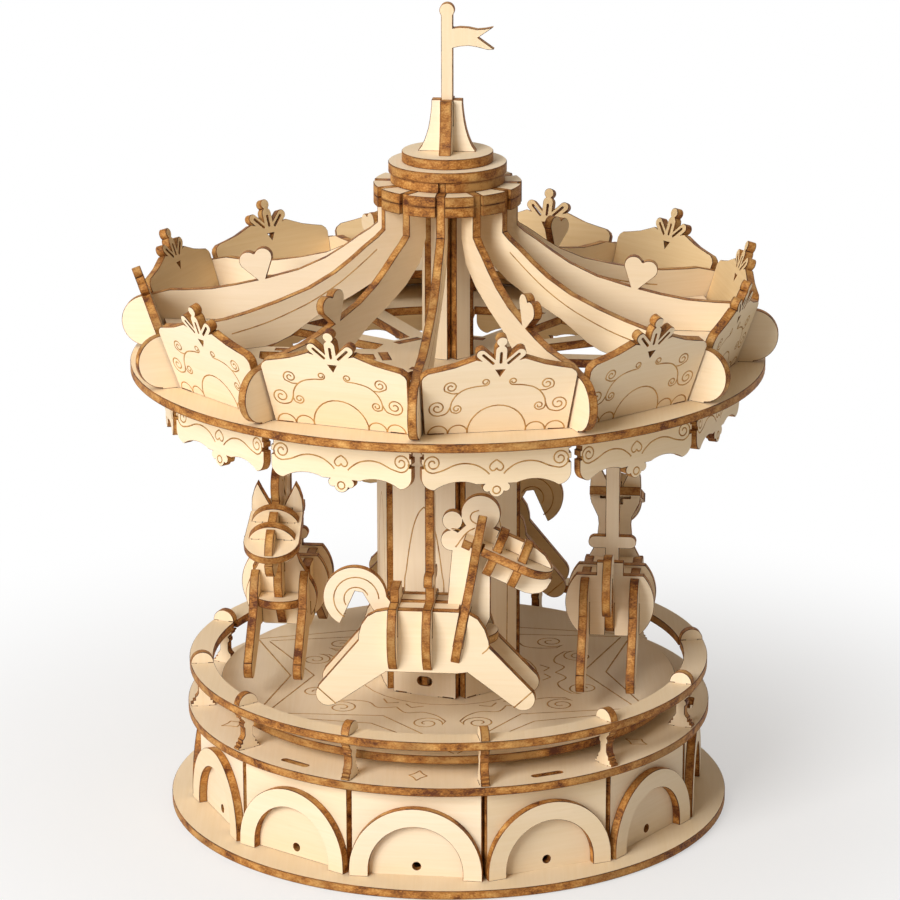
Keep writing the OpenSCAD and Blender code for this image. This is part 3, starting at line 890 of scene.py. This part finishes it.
@dataclass
class Etcher:
    """Lays burnt lines on a sheet as thin strips that stand a hair above it."""

    workshop: Workshop
    rise: float = 0.025

    def lay(self, name: str, lines: list[Line], places: list[Matrix], body: Body,
            stroke: Stroke = Stroke.SCROLL) -> bpy.types.Object:
        """Make the lines once, and a copy for each place.

        Args:
            name: the piece's name.
            lines: the drawing, in millimetres.
            places: where each copy goes; the drawing's plane becomes the sheet's face.
            body: the body it rides on.
            stroke: the kind of line.

        Returns:
            The piece.
        """
        first = self._strips(lines, stroke.value)
        first.data.materials.clear()
        # slot dashes are painted shade, drawn in the charred rim's dark colour
        first.data.materials.append(self.workshop.rim if stroke is Stroke.SLOT
                                    else self.workshop.etch)
        copies = [first] + [duplicated(first) for _ in places[1:]]
        for copy, place in zip(copies, places):
            copy.data.transform(place)
        piece = joined(copies, name)
        with editing(piece):
            bpy.ops.mesh.normals_make_consistent(inside=False)
        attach(piece, body.value)
        LOG.info("%s: %d faces", piece.name, len(piece.data.polygons))
        return piece

    def _strips(self, lines: list[Line], width: float) -> bpy.types.Object:
        """A flattened tube of this width along each line.

        Args:
            lines: the lines, in millimetres.
            width: of the tube, in millimetres.

        Returns:
            The tubes as one object.
        """
        bpy.ops.object.select_all(action="DESELECT")
        bpy.ops.curve.primitive_nurbs_path_add()
        curve = bpy.context.view_layer.objects.active.data
        curve.splines.clear()
        curve.dimensions = "3D"
        curve.twist_mode = "Z_UP"
        for line in lines:
            spline = curve.splines.new("POLY")
            spline.points.add(len(line) - 1)
            for point, (u, v) in zip(spline.points, line):
                point.co = (u, v, 0.0, 1.0)
        curve.bevel_depth = width / 2
        curve.bevel_resolution = 0
        curve.use_fill_caps = True
        bpy.ops.object.convert(target="MESH")
        strips = bpy.context.view_layer.objects.active
        strips.matrix_world = Matrix.Identity(4)
        strips.data.transform(Matrix.Diagonal((1, 1, 2 * self.rise / width, 1)))
        return strips


@dataclass
class Kit:
    """What every sub-assembly builds with."""

    nodes: dict[str, bpy.types.Object]
    workshop: Workshop
    dresser: SheetDresser
    etcher: Etcher

    def dress_all(self, names: tuple[str, ...], body: Body) -> None:
        """Dress several plywood nodes.

        Args:
            names: their names.
            body: the body they ride on.
        """
        for name in names:
            piece = self.dresser.dress(name, self.nodes[name], body)
            LOG.info("%s: %d faces", piece.name, len(piece.data.polygons))


# ---------------------------------------------------------------- sub-assemblies


def top_of(node: str) -> float:
    """Height of a level sheet's upper face.

    Args:
        node: the sheet's CAD node.

    Returns:
        The height above the table, in millimetres.
    """
    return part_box(node)[1].z / MM


def foot_slots(near: float, far: float) -> list[Line]:
    """Dark dashes along an upright panel's foot, painted shade of the gaps where its two tabs fill
    the slots of the floor.

    Args:
        near: from the panel's middle to the start of a tab, in millimetres.
        far: from the panel's middle to the end of a tab.

    Returns:
        The dashes.
    """
    return mirrored([[(-far, FOOT_LINE), (-near, FOOT_LINE)]])


class SubAssembly(ABC):
    """Pieces that go together on the bench, with sizes in millimetres and turns in degrees."""

    @abstractmethod
    def build(self, kit: Kit) -> None:
        """Dress the pieces and lay their burnt lines.

        Args:
            kit: what it is built with.
        """


@dataclass
class Base(SubAssembly):
    """Round foot, twelve walls with arches, deck and rail."""

    nodes: tuple[str, ...] = ("base_plate", "wall_panels", "arch_trims", "deck_plate",
                              "rail_posts", "rail_ring")
    phase: float = 8.0
    star_radius: float = 55.4
    star_half: tuple[float, float] = (2.15, 3.1)
    star_waist: float = 0.42

    def build(self, kit: Kit) -> None:
        """Dress the sheets and etch the deck."""
        deck = flat_face(top_of("deck_plate"))
        kit.dress_all(self.nodes, Body.BASE)
        places = [turn @ deck for turn in around_axis(self.phase - HALF_SIDE, SIXTHS)]
        kit.etcher.lay("deck_stars", self._star_lines(), places, Body.BASE, Stroke.BROAD)

    def _star_lines(self) -> list[Line]:
        """A four-pointed star with hollow sides, at the deck's front.

        Returns:
            Its lines, in millimetres.
        """
        wide, deep = self.star_half
        tips = [(wide, 0.0), (0.0, deep), (-wide, 0.0), (0.0, -deep)]
        star = []
        for here, there in zip(tips, tips[1:] + tips[:1]):
            waist = ((here[0] + there[0]) * self.star_waist, (here[1] + there[1]) * self.star_waist)
            star.append(smooth([here, waist, there], 4))
        return [[(u, v - self.star_radius) for u, v in line] for line in star]


@dataclass
class Platform(SubAssembly):
    """Turning floor with its ornament, hub disc and the six-sided column."""

    nodes: tuple[str, ...] = ("turntable", "hub_disc", "column_panels", "column_spacers")
    ornament_phase: float = 32.0
    ring_radius: float = 21.6
    column_apothem: float = 16.1
    column_tab: tuple[float, float] = (4.6, 7.4)

    def build(self, kit: Kit) -> None:
        """Dress the sheets and etch the floor and the column."""
        top = top_of("turntable")
        floor = flat_face(top)
        panel = upright_face(self.column_apothem, top)
        kit.dress_all(self.nodes, Body.CAROUSEL)
        places = [turn @ floor for turn in around_axis(self.ornament_phase, SIXTHS)]
        kit.etcher.lay("floor_ornament", self._floor_lines(), places, Body.CAROUSEL, Stroke.BROAD)
        ring = [arc((0, 0), self.ring_radius, 0, 360)]
        kit.etcher.lay("floor_ring", ring, [floor], Body.CAROUSEL, Stroke.FINE)
        places = [turn @ panel for turn in around_axis(REST_TURN - HALF_SIDE, SIXTHS)]
        # dark dashes at the column panels' feet: painted shade of the slot gaps
        kit.etcher.lay("column_foot_slot_shade", foot_slots(*self.column_tab), places, Body.CAROUSEL,
                       Stroke.SLOT)
        kit.etcher.lay("column_arches", self._column_lines(), places, Body.CAROUSEL, Stroke.FINE)

    @staticmethod
    def _polar(radius: float, angle: float) -> Point:
        """A point of the floor's drawing, its angle in degrees to the right of the middle."""
        turn = math.radians(angle)
        return (radius * math.sin(turn), -radius * math.cos(turn))

    def _floor_lines(self) -> list[Line]:
        """One sixth of the floor's ornament.

        Returns:
            Its lines, in millimetres.
        """
        polar = self._polar
        scroll = smooth([polar(26.0, 0), polar(28.6, 7.5), polar(27.2, 15.5), polar(28.9, 22.5),
                         polar(32.5, 27)])
        return mirrored([
            [polar(38.3, 0), polar(53.4, 29.6)],
            [polar(32.6, 0), polar(50.2, 29.6)],
            scroll + spiral(polar(34.2, 19.5), 3.9, 0.7, 10, 620),
            [polar(24.9, 7.6), polar(23.2, 13.5)],
            [polar(24.9, 7.6), polar(23.2, 2.4)],
        ])

    @staticmethod
    def _column_lines() -> list[Line]:
        """The tall arch on a column panel."""
        return mirrored([smooth([(-4.9, 9.0), (-5.0, 26.8), (-4.55, 31.0), (-3.7, 37.0),
                                 (-2.7, 42.0), (-1.4, 45.5), (0.0, 47.2)])])


@dataclass
class Canopy(SubAssembly):
    """Windowed floor, raised inner floor, fascia, valance, ribs and mast."""

    nodes: tuple[str, ...] = ("canopy_floor", "kerb_panels", "fascia_panels", "valance_panels",
                              "heart_ribs", "slit_ribs", "mast_panels")
    fascia_foot: float = 66.2
    fascia_lean: float = 19.0
    fascia_tab: tuple[float, float] = (11.6, 15.2)
    valance_face: float = 67.0

    def build(self, kit: Kit) -> None:
        """Dress the sheets and etch fascia, valance and ribs."""
        top = top_of("canopy_floor")
        kit.dress_all(self.nodes, Body.CAROUSEL)
        turns = around_axis(REST_TURN + HALF_SIDE, SIDES)
        fascia = [turn @ upright_face(self.fascia_foot, top, self.fascia_lean) for turn in turns]
        valance = [turn @ upright_face(self.valance_face, top - SHEET) for turn in turns]
        lay = kit.etcher.lay
        lay("fascia_scrolls", self._fascia_lines(), fascia, Body.CAROUSEL)
        lay("valance_scrolls", self._valance_lines(), valance, Body.CAROUSEL)
        # dark dashes at the fascia panels' feet: painted shade of the slot gaps
        lay("fascia_foot_slot_shade", foot_slots(*self.fascia_tab), fascia, Body.CAROUSEL, Stroke.SLOT)
        lay("rib_lines", self._rib_lines(), self._rib_places(top), Body.CAROUSEL, Stroke.FINE)

    @staticmethod
    def _fascia_lines() -> list[Line]:
        """Scrolls and arches on a leaning fascia panel.

        Returns:
            Their lines, in millimetres.
        """
        stem = smooth([(-3.2, 12.5), (-5.2, 12.35), (-7.6, 11.7), (-9.3, 10.4), (-10.3, 8.7),
                       (-10.7, 7.0), (-11.5, 5.5), (-13.0, 4.95)])
        outer = spiral((-13.5, 7.0), 2.05, 0.35, -90, -600)
        inner = smooth([(-10.7, 7.2), (-10.3, 5.9), (-9.3, 5.5)]) + \
            spiral((-9.2, 6.65), 1.15, 0.3, -90, 480)
        upper = smooth([(-8.9, 10.8), (-10.3, 10.75), (-11.4, 11.2)]) + \
            spiral((-10.7, 12.4), 1.6, 0.3, 215, -560)
        curl = spiral((-3.1, 13.45), 0.95, 0.35, -100, 480)
        scallops = [arc((-8.65, 0.05), 2.2, 180, 0), arc((-13.1, 0.05), 2.2, 180, 0)]
        return mirrored([stem + outer, inner, upper, curl] + scallops) \
            + [arc((0, 0.05), 6.6, 180, 0, 1.08)]

    @staticmethod
    def _valance_lines() -> list[Line]:
        """Scrolls, heart and ring on a hanging panel.

        Returns:
            Their lines, in millimetres.
        """
        wave = smooth([(-1.6, -7.4), (-2.6, -6.4), (-4.5, -5.2), (-7.0, -4.65), (-9.4, -4.95),
                       (-11.9, -6.0), (-14.0, -6.55)])
        curl = spiral((-14.3, -4.4), 2.15, 0.4, -95, -620)
        heart = smooth([(0, -4.1), (-1.1, -4.9), (-1.55, -5.8), (-1.1, -6.55), (-0.4, -6.5),
                        (0, -6.0)])
        return mirrored([wave + curl, heart]) + [arc((0, -11.1), 0.85, 0, 360)]

    @staticmethod
    def _rib_lines() -> list[Line]:
        """The fine line along a slit rib, drawn as radius and height above the canopy floor."""
        return [smooth([(18.5, 27.5), (23.8, 23.4), (29.0, 19.9), (34.8, 16.9), (40.0, 14.9),
                        (45.0, 13.3), (50.0, 12.1), (55.0, 11.2)])]

    @staticmethod
    def _rib_places(foot: float) -> list[Matrix]:
        """Where the drawing of a slit rib lies, on both faces of all six.

        Args:
            foot: height at which the drawing starts, in millimetres.

        Returns:
            One placing for each face.
        """
        stand = Matrix.Rotation(math.radians(-90), 4, "Z") \
            @ Matrix.Rotation(math.radians(90), 4, "X") @ Matrix.Scale(MM, 4)
        faces = [Matrix.Translation((side * SHEET / 2 * MM, 0, foot * MM)) @ stand
                 for side in (-1, 1)]
        return [turn @ face for turn in around_axis(REST_TURN, SIXTHS) for face in faces]


@dataclass
class Crown(SubAssembly):
    """Slotted rings, discs, cap, crossed fins and the flag."""

    nodes: tuple[str, ...] = ("crown_ring_low", "crown_ring_high", "crown_disc_low",
                              "crown_disc_high", "crown_cap", "spire_fin_wide",
                              "spire_fin_deep", "flag")

    def build(self, kit: Kit) -> None:
        """Dress the sheets, which have no burnt lines."""
        kit.dress_all(self.nodes, Body.CAROUSEL)


@dataclass
class Horses(SubAssembly):
    """The four hanging horses, in two pairs of twins."""

    letters: str = "abcd"
    parts: tuple[str, ...] = ("spine", "legs", "strip", "hoops", "head")
    twin_radii: tuple[float, float] = (40.8, 39.5)
    twin_heights: tuple[float, float] = (56.4, 52.8)
    leg_gap: float = 11.8

    def build(self, kit: Kit) -> None:
        """Dress the sheets and etch tails, manes and hooves."""
        for letter in self.letters:
            kit.dress_all(tuple(f"horse_{letter}_{part}" for part in self.parts), Body.CAROUSEL)
        kit.etcher.lay("horse_tails_manes", self._spine_lines(), self._faces(SHEET / 2),
                       Body.CAROUSEL, Stroke.FINE)
        kit.etcher.lay("horse_hooves", self._leg_lines(), self._faces((self.leg_gap + SHEET) / 2),
                       Body.CAROUSEL, Stroke.FINE)

    def _faces(self, reach: float) -> list[Matrix]:
        """Upright faces to both sides of each horse's middle.

        Args:
            reach: from a horse's middle to each face, in millimetres.

        Returns:
            One placing for each face.
        """
        turns = around_axis(REST_TURN, len(self.letters))
        return [turn @ upright_face(radius - offset, height)
                for turn, radius, height in zip(turns, self.twin_radii * 2, self.twin_heights * 2)
                for offset in (-reach, reach)]

    @staticmethod
    def _spine_lines() -> list[Line]:
        """Rings of the tail and curls of the mane.

        Returns:
            Their lines, in millimetres.
        """
        tail = (-17.1, 6.8)
        return [arc(tail, 5.25, 2, 238), arc(tail, 2.85, 20, 213),
                smooth([(11.3, 29.1), (9.9, 28.5), (9.35, 27.5), (9.7, 26.5), (11.0, 25.7)]),
                smooth([(5.0, 24.5), (6.0, 24.45), (7.0, 24.2)]),
                smooth([(5.9, 20.1), (6.5, 20.9), (7.0, 21.7), (8.1, 23.2), (9.2, 24.2),
                        (10.4, 24.8)])]

    @staticmethod
    def _leg_lines() -> list[Line]:
        """Hoof lines and the short chest line."""
        return [[(-25.5, -13.0), (-21.3, -16.8)], [(24.1, -12.4), (19.9, -16.4)],
                smooth([(14.4, -1.3), (13.7, -2.5), (12.6, -3.5)])]


@dataclass
class Movement(SubAssembly):
    """The comb movement sealed inside the base."""

    brass: tuple[str, ...] = ("movement_bed", "movement_bridge", "comb_block", "arbor_bush",
                              "tune_roll", "drive_wheel")
    steel: tuple[str, ...] = ("spring_drum", "mainspring", "tune_comb", "governor_case",
                              "governor_rotor", "drive_arbor", "arbor_collar")

    def build(self, kit: Kit) -> None:
        """Give each metal node its finish."""
        for names, metal in ((self.brass, kit.workshop.brass), (self.steel, kit.workshop.steel)):
            for name in names:
                materials = kit.nodes[name].data.materials
                materials.clear()
                materials.append(metal)
                LOG.info("%s: finished", name)


# ---------------------------------------------------------------- studio


@dataclass(frozen=True)
class Lamp:
    """A square soft lamp that faces a point, in metres and watts."""

    name: str
    spot: Triple
    aim: Triple
    size: float
    watts: float

    def build(self) -> None:
        """Add the lamp."""
        bpy.ops.object.light_add(type="AREA", location=self.spot)
        lamp = bpy.context.view_layer.objects.active
        lamp.name = self.name
        lamp.data.size = self.size
        lamp.data.energy = self.watts
        away = Vector(self.spot) - Vector(self.aim)
        lamp.rotation_euler = away.to_track_quat("Z", "Y").to_euler()


@dataclass
class Studio:
    """Pale floor, white surround, soft lamps and the camera, in metres and radians."""

    lamps: tuple[Lamp, ...] = (
        Lamp("key_lamp", (-0.92, -1.27, 0.88), (0, 0, 0.08), 0.9, 31.0),
        Lamp("top_lamp", (-0.2, 0.1, 1.3), (0, 0, 0.05), 0.9, 3.0),
    )
    room_light: Rgba = (0.21, 0.184, 0.152, 1.0)
    eye: Triple = (0.00446, -0.88885, 0.35487)
    yaw: float = -0.0045
    pitch: float = 0.2927
    roll: float = -0.0017
    lens: float = 155.64
    sensor: float = 36.0
    floor_drop: float = 0.0003
    floor_half: float = 2.5
    floor_grey: Rgba = (0.9, 0.9, 0.9, 1.0)
    floor_roughness: float = 0.9
    fade_from: float = 0.07
    fade_to: float = 0.22
    fade_least: float = 0.5

    def build(self) -> None:
        """Set up everything that isn't the object."""
        scene = bpy.context.scene
        scene.view_settings.view_transform = "Standard"
        self._surround(scene)
        self._floor()
        for lamp in self.lamps:
            lamp.build()
        self._camera(scene)

    def _surround(self, scene: bpy.types.Scene) -> None:
        """White where it is seen, and softer and warmer as a light."""
        world = bpy.data.worlds.new("white_room")
        scene.world = world
        world.use_nodes = True
        room = Nodes(world.node_tree)
        shown = room.mix(room.sees_white(), self.room_light, WHITE)
        room.put(shown, room.tree.nodes["Background"], "Color")

    def _floor(self) -> None:
        """A pale floor that fades out into white and keeps the object's shadow."""
        bpy.ops.object.select_all(action="DESELECT")
        bpy.ops.mesh.primitive_grid_add(x_subdivisions=8, y_subdivisions=8,
                                        size=2 * self.floor_half,
                                        location=(0, 0, -self.floor_drop))
        floor = bpy.context.view_layer.objects.active
        floor.name = "floor"
        floor.data.transform(floor.matrix_world)
        floor.matrix_world = Matrix.Identity(4)
        floor.data.materials.append(self._floor_finish())

    def _floor_finish(self) -> bpy.types.Material:
        """Matt pale grey that gives way to glowing white away from the object.

        Returns:
            The finished material.
        """
        surface = Surface("pale_floor")
        surface.coat(self.floor_grey, self.floor_roughness, 0.0)
        reach = surface.add("VectorMath", operation="LENGTH")
        surface.put(surface.add("TexCoord").outputs["Object"], reach, 0)
        fade = surface.add("MapRange", interpolation_type="SMOOTHSTEP", From_Min=self.fade_from,
                           From_Max=self.fade_to, To_Min=self.fade_least)
        surface.put(reach.outputs["Value"], fade, "Value")
        glow = surface.add("Emission", Color=WHITE)
        blend = surface.add("MixShader")
        share = surface.maths("MULTIPLY", fade.outputs["Result"], surface.sees_white())
        for socket, source in enumerate((share, surface.shader.outputs[0], glow.outputs[0])):
            surface.put(source, blend, socket)
        surface.put(blend.outputs[0], surface.output, "Surface")
        return surface.material

    def _camera(self, scene: bpy.types.Scene) -> None:
        """Place the camera at its eye point and angles."""
        bpy.ops.object.camera_add()
        camera = bpy.context.view_layer.objects.active
        camera.name = "camera"
        camera.data.lens = self.lens
        camera.data.sensor_width = self.sensor
        level = math.cos(self.pitch)
        ahead = Vector((math.sin(self.yaw) * level, math.cos(self.yaw) * level,
                        -math.sin(self.pitch)))
        right = ahead.cross(Vector((0, 0, 1))).normalized()
        above = right.cross(ahead)
        turn = Matrix.Rotation(self.roll, 3, "Z")
        axes = Matrix((right, above, -ahead)).transposed() @ turn
        camera.matrix_world = Matrix.Translation(self.eye) @ axes.to_4x4()
        scene.camera = camera


def main() -> None:
    """Build the looks of the carousel."""
    logging.basicConfig(level=logging.INFO, format="%(name)s: %(message)s")
    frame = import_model()
    workshop = Workshop()
    kit = Kit(frame["nodes"], workshop, SheetDresser(workshop), Etcher(workshop))
    Studio().build()
    for part in (Base(), Platform(), Canopy(), Crown(), Horses(), Movement()):
        part.build(kit)


if __name__ == "__main__":
    main()
